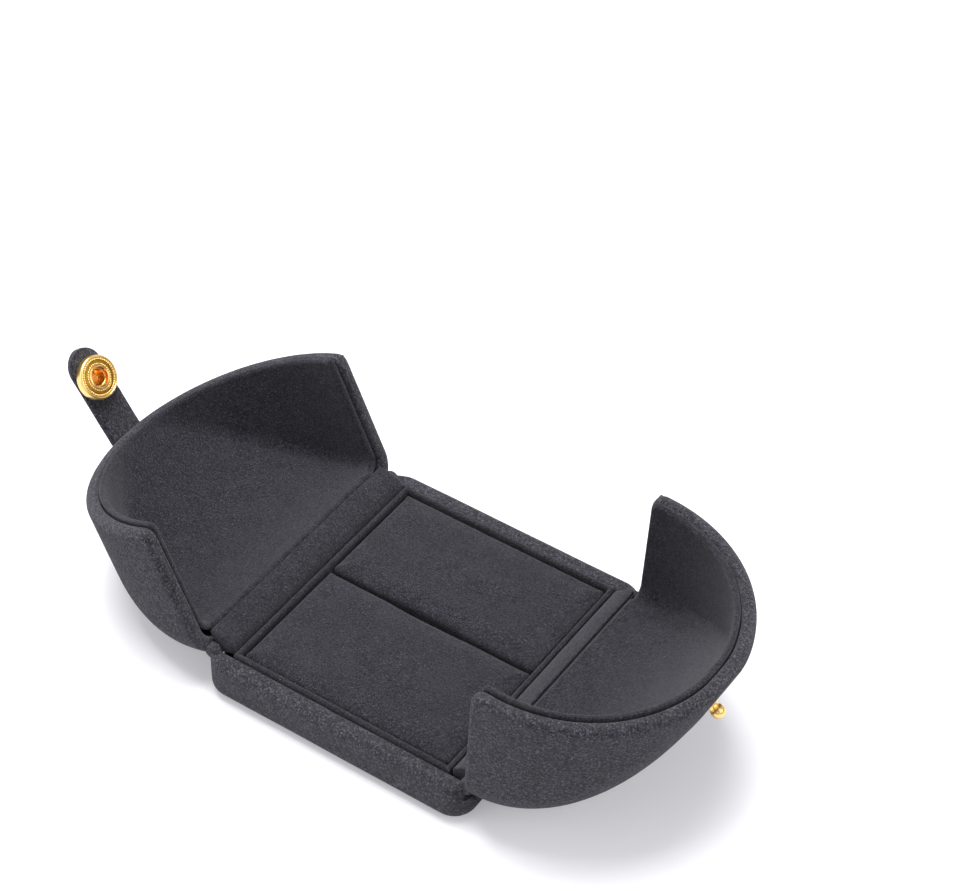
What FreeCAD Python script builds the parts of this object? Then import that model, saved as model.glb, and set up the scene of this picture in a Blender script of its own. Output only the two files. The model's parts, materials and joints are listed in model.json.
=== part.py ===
"""Arched ring box with two snap-strap doors, all sizes in millimetres.

Frame: origin on the table under the middle of the tray, +X from the left hinge to the
right hinge, +Y to the rear, +Z up.  Every door piece is drawn for the right-hand side
with the door closed, its rim on the plane x = 0.  It is mirrored for the left-hand side
and turned about its hinge pin to the open position of the model.
"""
import FreeCAD, Part
import math
import os

# ---- driving dimensions ---------------------------------------------------------------
# cloth, board and clearances
suede = 0.6                 # microfibre suede with its backing
fit_gap = 0.15              # between pieces that pass each other
seat_gap = 0.05             # between glued layers

# tray
tray_half_x = 31.0          # outer half-length below the doors
tray_half_y = 32.5
tray_height = 9.6           # top of the wrapped rim
tray_corner = 5.0           # plan radius of the corners
tray_foot_round = 2.8
tray_rim_round = 1.4
tray_side_wall = 2.5
tray_end_wall = 0.7
tray_floor = 1.5
nest_drop = 3.4             # the open doors nest this far below the rim at the tray's ends
nest_depth = 1.2            # the rim is set back by this there
tray_turn_in = 4.0          # suede turned in behind the rim
sole_margin = 5.0           # from the edge of the sole to the edge of the tray
sole_proud = 0.2            # the tray stands on the sole alone

# ring pad and its frame
pad_end_margin = 6.7        # from the edge of the pad to the end of the tray
pad_side_margin = 5.1
pad_rise = 0.3              # top of the pad over the tray's rim
pad_gap = 0.25              # between the pad and its frame
pad_board = 1.2
slot_centre_y = 1.2
slot_width = 0.5
slot_round = 2.2            # rounded shoulders of the ring slot
frame_rise = 0.7
frame_thickness = 1.1       # board and suede band round the pad
frame_round = 0.45

# doors: a side arch crossed with an end arch, rounded where they meet
door_side_step = 0.3        # side of the door behind the side of the tray
door_end_step = 0.9         # end of the door beyond the end of the tray
door_gap = 0.2              # lower edge of the closed door over the tray's rim
side_wall_rise = 3.8        # straight side wall under the side arch
end_radius = 39.0           # radius of the end arch
door_corner = 7.0           # plan radius between side wall and end wall
shell_thickness = 1.9
rim_setback = 0.45          # wrapped rim to the closing plane
lip_setback = 0.12          # liner lip to the closing plane
door_turn_in = 5.0          # suede turned in behind the rim and the lower edge
door_turn_in_thickness = 0.45
liner_board = 0.8
liner_end_depth = 6.1       # liner's end wall inside the door's end at the lower edge
liner_radius_step = 6.0     # liner's end arch is tighter by this
liner_corner = 2.2
liner_side_rise = 0.65      # side walls of the liner stop short of the lower edge

# hinges
hinge_inset = 1.0           # pin inside the end of the tray
hinge_drop = 0.4            # pin below the tray's rim
pin_diameter = 1.2
pin_fit = 0.05
pin_cover = 0.5             # lug material past the end of the pin
lug_radius = 1.45
lug_thickness = 1.8
lug_width = 1.3             # of the lug's foot
bar_end_margin = 4.4        # from the end of the bar to the side of the tray
bar_gap = 0.2               # swept by the bar past the frame and the end wall
bar_free_angle = 258.0      # direction of its free edge from the pin, door closed
bar_heel_angle = 284.0      # its round underside ends here
bar_bulge = 0.35
bar_back = 1.3              # bar behind the pin
bar_back_drop = 1.9
bar_skin = 0.5
tongue_margin = 10.5        # from the end of the tongue to the side of the tray
tongue_height = 11.0
right_open = 93.5           # doors as photographed
left_open = 114.0

# snap strap and fastener
strap_width = 8.4
strap_ply = 0.8
strap_anchor_end = 9.0      # glued on the door as far as this
strap_tip_margin = 6.8      # middle of the fastener to the tip
cap_diameter = 7.8
cap_height = 0.9
cap_dome_radius = 14.0
eyelet_bore = 4.1
eyelet_wall = 0.3
socket_diameter = 9.2
socket_height = 1.85
socket_edge = 0.35
socket_rings = 2
ring_bead = 0.16
spring_wire = 0.3
stud_distance = 10.35       # closing plane to the middle of the stud
stud_sink = 0.4             # flange pressed into the suede
stud_flange_diameter = 5.6
stud_flange = 0.5
stud_neck = 2.3
stud_ball = 3.4
stud_ball_height = 2.15
snap_gap = 0.25             # face of the closed socket to the suede
rivet_shank = 1.5
rivet_head_diameter = 3.8
rivet_head = 0.45

# ---- values worked out from them ------------------------------------------------------
X_AXIS = FreeCAD.Vector(1, 0, 0)
Y_AXIS = FreeCAD.Vector(0, 1, 0)
Z_AXIS = FreeCAD.Vector(0, 0, 1)
ORIGIN = FreeCAD.Vector(0, 0, 0)
FAR = 80.0                  # beyond every piece
TOP_CAP = 0.12              # a loft stops this far under its apex
DOME_LEVELS = 11

lining_inset = suede + shell_thickness
liner_inset = lining_inset + suede + seat_gap
void_inset = liner_inset + liner_board + suede
liner_thickness = liner_board + suede

tray_low = sole_proud + suede
floor_top = tray_low + tray_floor
tray_inside_x = tray_half_x - suede - tray_end_wall
tray_inside_y = tray_half_y - suede - tray_side_wall
nest_height = tray_height - nest_drop

pad_half_x = tray_half_x - pad_end_margin
pad_half_y = tray_half_y - pad_side_margin
pad_top = tray_height + pad_rise
frame_top = tray_height + frame_rise
frame_half_x = pad_half_x + pad_gap + frame_thickness
frame_half_y = pad_half_y + pad_gap + frame_thickness

door_half_y = tray_half_y - door_side_step      # also the radius of the side arch
end_half_x = tray_half_x + door_end_step
door_bottom = tray_height + door_gap
arch_centre_z = tray_height + side_wall_rise
door_top = arch_centre_z + door_half_y
liner_half_x = end_half_x - liner_end_depth
liner_radius = end_radius - liner_radius_step
liner_flat_y = door_half_y - void_inset - liner_corner

hinge_x = tray_half_x - hinge_inset
hinge_z = tray_height - hinge_drop
bar_reach = hinge_x - frame_half_x - bar_gap
bar_half_y = tray_half_y - bar_end_margin
end_wall_top = hinge_z - bar_reach - bar_gap
lug_start = bar_half_y + bar_gap
lug_end = lug_start + lug_thickness
pin_half = lug_end - pin_cover
tongue_half_y = tray_half_y - tongue_margin

strap_thickness = 2 * strap_ply
rivet_head_depth = lining_inset - stud_sink


def vec(x, y, z):
    return FreeCAD.Vector(x, y, z)


def box(x0, x1, y0, y1, z0, z1):
    return Part.makeBox(x1 - x0, y1 - y0, z1 - z0, vec(x0, y0, z0))


def cylinder_y(radius, y0, y1, x, z):
    return Part.makeCylinder(radius, y1 - y0, vec(x, y0, z), Y_AXIS)


def polar(radius, degrees):
    """Point about the hinge pin in the x-z plane."""
    turn = math.radians(degrees)
    return vec(hinge_x + radius * math.cos(turn), 0, hinge_z + radius * math.sin(turn))


def rounded_plan(half_x, half_y, corner, z):
    """Closed wire: a rectangle with round corners, lying at height z."""
    ax = half_x - corner
    ay = half_y - corner
    corners = ((1, 1), (-1, 1), (-1, -1), (1, -1))
    edges = []
    for k, (sx, sy) in enumerate(corners):
        ring = []
        for part in range(3):
            turn = math.radians(90 * k + 45 * part)
            ring.append(vec(sx * ax + corner * math.cos(turn), sy * ay + corner * math.sin(turn), z))
        nx, ny = corners[(k + 1) % 4]
        turn = math.radians(90 * k + 90)
        goal = vec(nx * ax + corner * math.cos(turn), ny * ay + corner * math.sin(turn), z)
        edges.append(Part.Arc(*ring).toShape())
        edges.append(Part.makeLine(ring[2], goal))
    return Part.Wire(edges)


def rounded_block(half_x, half_y, corner, z0, z1):
    return Part.Face(rounded_plan(half_x, half_y, corner, z0)).extrude(vec(0, 0, z1 - z0))


def level_edges(shape, z):
    """Edges that lie at height z."""
    return [e for e in shape.Edges if abs(e.BoundBox.ZMin - z) < 1e-4 and abs(e.BoundBox.ZMax - z) < 1e-4]


# ---- door forms -----------------------------------------------------------------------
def arc_centre(x_low, z_top, radius):
    """Centre of the arc from (x_low, door_bottom) to (0, z_top), on the hollow side."""
    rise = z_top - door_bottom
    chord = math.hypot(x_low, rise)
    lift = math.sqrt(radius ** 2 - chord ** 2 / 4)
    return (x_low / 2 - lift * rise / chord, (door_bottom + z_top) / 2 - lift * x_low / chord)


def dome(half_y, half_x, radius, corner, z_low, inset):
    """Both doors as one solid: side arch crossed with end arch, corners rounded.

    Round-cornered sections at rising heights are lofted; inset moves every wall inwards.
    """
    centre_x, centre_z = arc_centre(half_x, arch_centre_z + half_y, radius)
    side = half_y - inset
    end = radius - inset
    top = min(arch_centre_z + side, centre_z + math.sqrt(end ** 2 - centre_x ** 2)) - TOP_CAP
    wires = []
    for k in range(DOME_LEVELS):
        z = z_low + (top - z_low) * math.sin(math.pi / 2 * k / (DOME_LEVELS - 1))
        y = math.sqrt(side ** 2 - max(0.0, z - arch_centre_z) ** 2)
        x = centre_x + math.sqrt(end ** 2 - (z - centre_z) ** 2)
        bend = min(max(corner - inset, 0.8), 0.7 * x, 0.7 * y)
        wires.append(rounded_plan(x, y, bend, z))
    return Part.makeLoft(wires, True, False, False, 5)


def outer_dome(inset, z_low):
    return dome(door_half_y, end_half_x, end_radius, door_corner, z_low, inset)


def liner_dome(grow, z_low):
    """The liner's hollow, moved outwards by grow."""
    return dome(door_half_y - void_inset, liner_half_x, liner_radius, liner_corner, z_low, -grow)


def behind(x, z_low=0.0):
    """Everything outside the plane x, which takes one door from a dome."""
    return box(x, FAR, -FAR, FAR, z_low, FAR)


def lug_relief():
    """Room in the door for the two round lugs of the tray."""
    y0 = bar_half_y
    y1 = lug_end + fit_gap
    radius = lug_radius + 2 * fit_gap
    near = cylinder_y(radius, -y1, -y0, hinge_x, hinge_z)
    return near.fuse(cylinder_y(radius, y0, y1, hinge_x, hinge_z))


# ---- door pieces, drawn on the right with the door closed -----------------------------
def lining_dome():
    """Hollow inside the moulded shell."""
    return outer_dome(lining_inset, door_bottom + suede - 1.0)


def plain_shell():
    solid = outer_dome(suede, door_bottom + suede).cut(lining_dome())
    return solid.common(behind(rim_setback + suede))


def door_shell():
    """Moulded shell between the suede cover and the lining."""
    return plain_shell().cut(lug_relief())


def door_cover():
    """Suede over the shell, round its rim and lower edge and turned in behind them."""
    skin = outer_dome(0.0, door_bottom).cut(outer_dome(lining_inset + door_turn_in_thickness, door_bottom - 1.0))
    skin = skin.common(behind(rim_setback)).cut(plain_shell())
    unlined = lining_dome().common(behind(rim_setback + door_turn_in, door_bottom + door_turn_in / 2))
    return skin.cut(unlined).cut(lug_relief())


def liner_layer(outer_grow, inner_grow, wrap):
    """One layer of the liner, open at the rim and at the hinge; wrap holds back its edges."""
    low = door_bottom + wrap
    solid = liner_dome(outer_grow, door_bottom).cut(liner_dome(inner_grow, door_bottom - 1.0))
    solid = solid.common(behind(lip_setback + wrap, low))
    for side in (-1, 1):
        y0, y1 = sorted((side * (liner_flat_y - wrap), side * FAR))
        solid = solid.cut(box(0, FAR, y0, y1, 0, low + liner_side_rise))
    return solid


def liner_core():
    return liner_layer(liner_thickness, suede, suede)


def liner_suede():
    """Suede face of the liner, rolled over the edges of its board."""
    return liner_layer(liner_thickness, 0.0, 0.0).cut(liner_core())


# ---- hinge pieces ---------------------------------------------------------------------
def bar_outline():
    """Section of the hinge bar with the door closed, as a face in the x-z plane."""
    top = door_bottom - seat_gap
    front = vec(liner_half_x + fit_gap, 0, top)
    free = polar(bar_reach, bar_free_angle)
    middle = (front + free) * 0.5
    out = middle - vec(hinge_x, 0, hinge_z)
    belly = middle + out * (bar_bulge / out.Length)
    heel = polar(bar_reach, bar_heel_angle)
    under = polar(bar_reach, (bar_free_angle + bar_heel_angle) / 2)
    back = hinge_x + bar_back
    corners = [heel, vec(back, 0, hinge_z - bar_back_drop), vec(back, 0, top), front]
    edges = [Part.Arc(front, belly, free).toShape(), Part.Arc(free, under, heel).toShape()]
    for start, end in zip(corners, corners[1:]):
        edges.append(Part.makeLine(start, end))
    return Part.Wire(edges)


def bar_solid(wire, half_y):
    face = Part.Face(wire)
    face.translate(vec(0, -half_y, 0))
    return face.extrude(vec(0, 2 * half_y, 0))


def bar_bore():
    return cylinder_y(pin_diameter / 2 + pin_fit, -FAR, FAR, hinge_x, hinge_z)


def bar_core():
    """Moulded bar with a tongue that is glued between the liner and the shell."""
    outline = bar_outline()
    inner = outline.makeOffset2D(-bar_skin)
    solid = bar_solid(inner, bar_half_y - bar_skin)
    raised = solid.copy()
    raised.translate(vec(0, 0, bar_skin))
    solid = solid.fuse(raised).common(bar_solid(outline, bar_half_y))
    low = door_bottom - seat_gap - bar_skin
    tongue = outer_dome(liner_inset, low).cut(liner_dome(liner_thickness + seat_gap, low - 1.0))
    room = box(0, FAR, -tongue_half_y, tongue_half_y, low, door_bottom + tongue_height)
    return solid.fuse(tongue.common(room)).cut(bar_bore()).removeSplitter()


def bar_cover():
    """Suede round the bar, open where the bar meets the door."""
    outline = bar_outline()
    inner = outline.makeOffset2D(-bar_skin)
    core = bar_solid(inner, bar_half_y - bar_skin)
    raised = core.copy()
    raised.translate(vec(0, 0, bar_skin))
    return bar_solid(outline, bar_half_y).cut(core.fuse(raised)).cut(bar_bore())


def hinge_pin():
    half = pin_half - seat_gap
    return cylinder_y(pin_diameter / 2, -half, half, hinge_x, hinge_z)


# ---- tray -----------------------------------------------------------------------------
def tray_block(inset):
    """Outer form of the tray, moved inwards by inset, with the nests at both ends."""
    half_x = tray_half_x - inset
    half_y = tray_half_y - inset
    top = tray_height - inset
    low = sole_proud + inset
    solid = rounded_block(half_x, half_y, tray_corner - inset, low, top)
    solid = solid.makeFillet(tray_foot_round - inset, level_edges(solid, low))
    solid = solid.makeFillet(tray_rim_round - inset, level_edges(solid, top))
    rim_x = half_x - nest_depth
    for x0, x1 in ((-FAR, -rim_x), (rim_x, FAR)):
        solid = solid.cut(box(x0, x1, -FAR, FAR, nest_height - inset, FAR))
    return solid


def tray_well(lining):
    """Inside of the tray; lining leaves room for suede on the side walls."""
    half_y = tray_inside_y - lining
    return box(-tray_inside_x, tray_inside_x, -half_y, half_y, floor_top, FAR)


def end_openings(z):
    """Above z the ends of the tray are open between the lugs, for the hinge bars."""
    near = box(-FAR, -frame_half_x, -lug_start, lug_start, z, FAR)
    return near.fuse(box(frame_half_x, FAR, -lug_start, lug_start, z, FAR))


def lugs(grow):
    """Four round lugs that hold the hinge pins, each on a foot from the floor."""
    foot_x = hinge_x - lug_radius
    pieces = []
    for side in (-1, 1):
        y0, y1 = sorted((side * (lug_start - grow), side * (lug_end + grow)))
        for end in (-1, 1):
            x0, x1 = sorted((end * (foot_x - grow), end * (foot_x + lug_width + grow)))
            pieces.append(cylinder_y(lug_radius + grow, y0, y1, end * hinge_x, hinge_z))
            pieces.append(box(x0, x1, y0, y1, floor_top, hinge_z))
    return pieces[0].multiFuse(pieces[1:])


def pin_line(end):
    return cylinder_y(pin_diameter / 2, -pin_half, pin_half, end * hinge_x, hinge_z)


def base_shell():
    inner = tray_block(suede)
    solid = inner.cut(tray_well(0.0)).cut(end_openings(end_wall_top - suede))
    low_lugs = lugs(0.0).common(inner.fuse(box(-FAR, FAR, -FAR, FAR, nest_height, FAR)))
    solid = solid.fuse(low_lugs)
    return solid.cut(pin_line(-1)).cut(pin_line(1)).removeSplitter()


def sole_recess():
    half_x = tray_half_x - sole_margin + seat_gap
    half_y = tray_half_y - sole_margin + seat_gap
    return rounded_block(half_x, half_y, tray_corner, -1.0, tray_low)


def base_cover():
    """Suede outside the tray, over its rim and turned in; open for the sole."""
    solid = tray_block(0.0).cut(tray_block(suede))
    solid = solid.cut(tray_well(suede)).cut(end_openings(end_wall_top))
    top = tray_height - suede
    turn_in = box(-tray_inside_x, tray_inside_x, -tray_inside_y, tray_inside_y, top - tray_turn_in, top)
    fit = lugs(seat_gap)
    solid = solid.fuse(turn_in.cut(tray_well(suede)).cut(end_openings(0)).cut(fit))
    above_foot = box(-FAR, FAR, -FAR, FAR, nest_height - suede, FAR)
    return solid.cut(fit.common(above_foot)).cut(sole_recess()).removeSplitter()


def base_sole():
    return rounded_block(tray_half_x - sole_margin, tray_half_y - sole_margin, tray_corner, 0, tray_low)


def pad_frame():
    """Suede-covered band that stands round the ring pad."""
    inner_x = pad_half_x + pad_gap
    inner_y = pad_half_y + pad_gap
    half_x = frame_half_x - seat_gap
    half_y = frame_half_y - seat_gap
    solid = box(-half_x, half_x, -half_y, half_y, floor_top, frame_top)
    solid = solid.cut(box(-inner_x, inner_x, -inner_y, inner_y, 0, FAR))
    return solid.makeFillet(frame_round, level_edges(solid, frame_top))


def pad_block(rear, inset):
    """Half of the ring pad, with a rounded shoulder at the slot."""
    edge = slot_width / 2
    y0 = slot_centre_y + edge if rear else -pad_half_y
    y1 = pad_half_y if rear else slot_centre_y - edge
    bottom = floor_top + pad_board
    top = pad_top - inset
    solid = box(-pad_half_x + inset, pad_half_x - inset, y0 + inset, y1 - inset, bottom, top)
    slot_y = y0 + inset if rear else y1 - inset
    shoulder = []
    others = []
    for edge in level_edges(solid, top):
        at_slot = abs(edge.BoundBox.YMin - slot_y) < 1e-4 and abs(edge.BoundBox.YMax - slot_y) < 1e-4
        (shoulder if at_slot else others).append(edge)
    solid = solid.makeFillet(slot_round - inset, shoulder)
    return solid


# ---- snap strap -----------------------------------------------------------------------
def snap_layout():
    """Where the closed strap meets the other door, all about the centre of the end arch.

    The strap leaves the rim along the tangent of the arch.  Its free end lies parallel to the
    door under it, so the bend line is where that tangent meets the free end's middle line.
    """
    centre_x, centre_z = arc_centre(end_half_x, door_top, end_radius)
    slope = math.asin(-centre_x / end_radius)
    tilt = math.asin((stud_distance - centre_x) / end_radius)
    start = vec(strap_ply * math.sin(slope), 0, door_top + strap_ply * math.cos(slope))
    rim = vec(-start.x - centre_x, 0, start.z - centre_z)
    outwards = vec(math.sin(tilt), 0, math.cos(tilt))
    down = vec(math.cos(tilt), 0, -math.sin(tilt))
    line = end_radius + strap_ply + seat_gap + socket_height + snap_gap
    bend = (line - rim.dot(outwards)) / math.sin(tilt + slope)
    bend_place = rim + vec(math.cos(slope), 0, math.sin(slope)) * bend
    reach = bend - bend_place.dot(down)
    seat = vec(centre_x, 0, centre_z) + outwards * end_radius
    return start, math.degrees(slope), bend, reach, seat, math.degrees(tilt)


strap_start, strap_slope, strap_bend, snap_distance, stud_place, stud_tilt = snap_layout()
strap_length = snap_distance + strap_tip_margin


def strap_placed(shape):
    """From the strap's own frame (x towards the tip, z away from the door) to the door."""
    turned = shape.copy()
    turned.rotate(ORIGIN, Y_AXIS, -strap_slope)
    turned = turned.mirror(ORIGIN, X_AXIS)
    turned.translate(strap_start)
    return turned


def strap_layer(outer):
    """One free ply: round at the tip and rounded on the bend line."""
    half = strap_width / 2
    z0, z1 = (0.0, strap_ply) if outer else (-strap_ply, 0.0)
    tip_x = strap_length - half
    solid = box(strap_bend, tip_x, -half, half, z0, z1)
    solid = solid.fuse(Part.makeCylinder(half, z1 - z0, vec(tip_x, 0, z0)))
    bead = cylinder_y(strap_ply, -half, half, strap_bend, 0)
    solid = solid.fuse(bead.common(box(0, strap_bend, -FAR, FAR, z0, z1)))
    hole_radius = eyelet_bore / 2 + eyelet_wall + seat_gap
    hole = Part.makeCylinder(hole_radius, FAR, vec(snap_distance, 0, -FAR / 2))
    return strap_placed(solid.cut(hole).removeSplitter())


def strap_anchor():
    """Glued end of the strap, which runs on past the rim to the bend line."""
    half = strap_width / 2
    layer = outer_dome(-strap_thickness, door_bottom).cut(outer_dome(0.0, door_bottom))
    glued = layer.common(box(strap_start.x, strap_anchor_end, -half, half, arch_centre_z, FAR))
    tongue = strap_placed(box(0, strap_bend, -half, half, -strap_ply, strap_ply))
    room = strap_placed(cylinder_y(strap_ply + fit_gap, -half - 1, half + 1, strap_bend, 0))
    return glued.fuse(tongue.cut(room)).removeSplitter()


def revolved(points, x):
    """Solid of revolution about the fastener's axis from (radius, height) points."""
    ring = [vec(x + r, 0, z) for r, z in points]
    face = Part.Face(Part.makePolygon(ring + [ring[0]]))
    return face.revolve(vec(x, 0, 0), Z_AXIS, 360)


def snap_cap():
    """Domed cap outside the strap; its eyelet holds the socket on the inside."""
    radius = cap_diameter / 2
    bore = eyelet_bore / 2
    base = strap_ply + seat_gap
    mouth = -strap_ply - seat_gap - socket_height + 0.2
    disc = Part.makeCylinder(radius, cap_height, vec(snap_distance, 0, base))
    ball = Part.makeSphere(cap_dome_radius, vec(snap_distance, 0, base + cap_height - cap_dome_radius))
    tube = Part.makeCylinder(bore + eyelet_wall, base - mouth, vec(snap_distance, 0, mouth))
    tube = tube.cut(Part.makeCylinder(bore, base - mouth, vec(snap_distance, 0, mouth)))
    return strap_placed(disc.common(ball).fuse(tube).removeSplitter())


def snap_socket():
    """Round-edged socket about the eyelet, with two turned rings on its face."""
    base = -strap_ply - seat_gap
    low = base - socket_height
    bore = eyelet_bore / 2 + eyelet_wall + seat_gap
    outer = socket_diameter / 2
    edge = socket_edge
    points = [(bore, base), (outer - edge, base), (outer, base - edge), (outer, low + edge)]
    points += [(outer - edge, low), (bore, low)]
    solid = revolved(points, snap_distance)
    for k in range(socket_rings):
        radius = bore + edge + k * (outer - bore - 3 * edge) / (socket_rings - 1)
        solid = solid.fuse(Part.makeTorus(radius, ring_bead, vec(snap_distance, 0, low), Z_AXIS))
    return strap_placed(solid.removeSplitter())


def socket_spring():
    """Ring spring held in the mouth of the eyelet."""
    mouth = -strap_ply - socket_height + 0.75
    radius = eyelet_bore / 2 - spring_wire / 2 - 0.01
    return strap_placed(Part.makeTorus(radius, spring_wire / 2, vec(snap_distance, 0, mouth), Z_AXIS))


# ---- stud on the other door -----------------------------------------------------------
def stud_placed(shape):
    """From the stud's own frame (z outwards) to its seat on the closed door."""
    turned = shape.copy()
    turned.translate(vec(0, 0, -stud_sink))
    turned.rotate(ORIGIN, Y_AXIS, stud_tilt)
    turned.translate(stud_place)
    return turned


def snap_stud():
    """Flanged stud: low flange, neck and ball."""
    flange = Part.makeCylinder(stud_flange_diameter / 2, stud_flange)
    flange = flange.makeFillet(stud_flange / 2.5, level_edges(flange, stud_flange))
    neck = Part.makeCylinder(stud_neck / 2, stud_ball_height)
    ball = Part.makeSphere(stud_ball / 2, vec(0, 0, stud_ball_height))
    bore = Part.makeCylinder(rivet_shank / 2, stud_ball_height, vec(0, 0, 0))
    return stud_placed(flange.fuse(neck).fuse(ball).cut(bore).removeSplitter())


def snap_rivet():
    """Rivet from inside the shell into the stud."""
    shank = Part.makeCylinder(rivet_shank / 2, rivet_head_depth + stud_ball_height, vec(0, 0, -rivet_head_depth))
    head = Part.makeCylinder(rivet_head_diameter / 2, rivet_head, vec(0, 0, -rivet_head_depth - rivet_head))
    return stud_placed(shank.fuse(head).removeSplitter())


def stud_seat():
    """Spot face, rivet hole and counterbore through cover and shell."""
    face = Part.makeCylinder(stud_flange_diameter / 2 + fit_gap, FAR)
    hole = Part.makeCylinder(rivet_shank / 2 + seat_gap, FAR, vec(0, 0, -FAR / 2))
    sink = Part.makeCylinder(rivet_head_diameter / 2 + seat_gap, FAR / 2, vec(0, 0, -rivet_head_depth - FAR / 2))
    return stud_placed(face.fuse(hole).fuse(sink))


# ---- assembly -------------------------------------------------------------------------
def opened(shape, side):
    """Take a closed right-hand piece to its side and open its door."""
    placed = shape.copy()
    angle = right_open
    if side < 0:
        placed = placed.mirror(ORIGIN, X_AXIS)
        angle = -left_open
    placed.rotate(vec(side * hinge_x, 0, hinge_z), Y_AXIS, angle)
    return placed


def save(name, shape):
    solids = shape.Solids
    print(name, len(solids), round(shape.Volume, 1), shape.isValid())
    shape.exportStep("parts/" + name + ".step")


def build_tray():
    save("base_shell", base_shell())
    save("base_cover", base_cover())
    save("base_sole", base_sole())
    save("pad_frame", pad_frame())
    save("pad_board", box(-pad_half_x, pad_half_x, -pad_half_y, pad_half_y, floor_top, floor_top + pad_board))
    for name, rear in (("front", False), ("rear", True)):
        foam = pad_block(rear, suede)
        save(name + "_pad_foam", foam)
        save(name + "_pad_cover", pad_block(rear, 0.0).cut(foam))


def build_doors():
    shell = door_shell()
    cover = door_cover()
    seat = stud_seat()
    for name, side in (("left", -1), ("right", 1)):
        drilled = seat if side > 0 else None
        save(name + "_door_shell", opened(shell.cut(drilled) if drilled else shell, side))
        save(name + "_door_cover", opened(cover.cut(drilled) if drilled else cover, side))
        save(name + "_liner_board", opened(liner_core(), side))
        save(name + "_liner_suede", opened(liner_suede(), side))
        save(name + "_hinge_bar", opened(bar_core(), side))
        save(name + "_hinge_bar_cover", opened(bar_cover(), side))
        save(name + "_hinge_pin", opened(hinge_pin(), side))


def build_snap():
    save("strap_anchor", opened(strap_anchor(), -1))
    save("strap_outer_ply", opened(strap_layer(True), -1))
    save("strap_inner_ply", opened(strap_layer(False), -1))
    save("snap_cap", opened(snap_cap(), -1))
    save("snap_socket", opened(snap_socket(), -1))
    save("socket_spring", opened(socket_spring(), -1))
    save("snap_stud", opened(snap_stud(), 1))
    save("snap_rivet", opened(snap_rivet(), 1))


os.makedirs("parts", exist_ok=True)
build_tray()
build_doors()
build_snap()
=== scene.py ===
"""Arched ring box in charcoal microfibre suede, dressed on the frame of its CAD model.

Lengths in the code are millimetres and turn into metres when a mesh is made.  A door piece is
worked out closed and on the right-hand side, its rim near the plane x = 0, and is then carried
to its own side and to the open position of the model.
"""
import json
import math

import bmesh
import bpy
import numpy as np
from mathutils import Matrix, Vector


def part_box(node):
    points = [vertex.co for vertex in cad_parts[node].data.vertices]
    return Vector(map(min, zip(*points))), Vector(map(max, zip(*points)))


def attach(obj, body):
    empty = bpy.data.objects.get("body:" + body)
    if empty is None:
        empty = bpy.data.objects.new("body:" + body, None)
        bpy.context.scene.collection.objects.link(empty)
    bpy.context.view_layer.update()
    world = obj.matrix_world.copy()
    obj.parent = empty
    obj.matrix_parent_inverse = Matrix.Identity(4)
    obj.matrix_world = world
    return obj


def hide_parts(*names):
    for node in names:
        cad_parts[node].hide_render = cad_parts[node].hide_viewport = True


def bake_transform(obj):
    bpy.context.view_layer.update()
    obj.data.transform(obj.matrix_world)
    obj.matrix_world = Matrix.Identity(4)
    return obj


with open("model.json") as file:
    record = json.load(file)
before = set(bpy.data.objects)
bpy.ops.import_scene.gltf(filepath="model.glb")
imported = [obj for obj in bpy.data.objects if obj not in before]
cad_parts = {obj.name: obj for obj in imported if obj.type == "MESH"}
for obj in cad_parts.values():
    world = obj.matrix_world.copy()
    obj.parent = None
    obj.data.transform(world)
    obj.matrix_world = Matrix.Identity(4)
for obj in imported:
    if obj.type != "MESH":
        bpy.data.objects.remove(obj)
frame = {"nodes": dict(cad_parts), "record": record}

bl_info = {
    "name": "Suede ring box with arched doors",
    "version": (1, 0, 0),
    "blender": (4, 5, 0),
    "location": "3D View > Sidebar > Ring box",
    "description": "Dresses the ring box with its suede, pads, strap and gilt snap fastener",
    "category": "Add Mesh",
}

MM = 0.001
JOINTS = {joint["name"]: joint for joint in frame["record"]["behaviour"]["joints"]}
UP = np.array([0.0, 0.0, 1.0])
QUARTER = math.pi / 2
SHARP = math.radians(38.0)  # faces that meet at more than this look like an edge


def node_box(node):
    """Lowest and highest corner of a CAD node in millimetres."""
    low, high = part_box(node)
    return np.array(low) / MM, np.array(high) / MM


# Settings
def length(name, description, default):
    return bpy.props.FloatProperty(name=name, description=description, default=default * MM,
                                   unit="LENGTH", precision=5)


def colour(name, description, hex_value):
    return bpy.props.FloatVectorProperty(name=name, description=description, subtype="COLOR",
                                         size=4, min=0.0, max=1.0, default=linear(hex_value))


def linear(hex_value):
    """Linear RGBA of an sRGB colour written as RRGGBB."""
    parts = np.array([int(hex_value[i:i + 2], 16) for i in (0, 2, 4)]) / 255.0
    low = parts / 12.92
    high = ((parts + 0.055) / 1.055) ** 2.4
    return (*np.where(parts <= 0.04045, low, high).tolist(), 1.0)


class RingBoxTraySettings(bpy.types.PropertyGroup):
    """Suede cover of the tray."""

    half_x: length("Half length", "Middle to the end of the tray", 31.0)
    half_y: length("Half width", "Middle to the side of the tray", 32.5)
    corner: length("Corner", "Plan radius of the corners", 5.0)
    foot: length("Foot rounding", "Radius of the lower edge", 2.8)
    rim: length("Rim rounding", "Radius of the wrapped rim", 1.4)
    low: length("Underside", "Height of the underside over the table", 0.2)
    top: length("Top", "Height of the rim", 9.6)
    end_top: length("End wall", "Height of the end walls, where the hinge bars turn", 4.85)
    nest: length("Nest", "Height above which the ends are set back for the open doors", 6.2)
    nest_depth: length("Nest depth", "How far the ends are set back", 1.2)
    well_x: length("Well half length", "Middle to the inside of the end walls", 29.7)
    well_y: length("Well half width", "Middle to the lining of the side walls", 28.8)
    turn_in: length("Turn-in", "Suede turned down inside the rim", 4.4)


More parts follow.
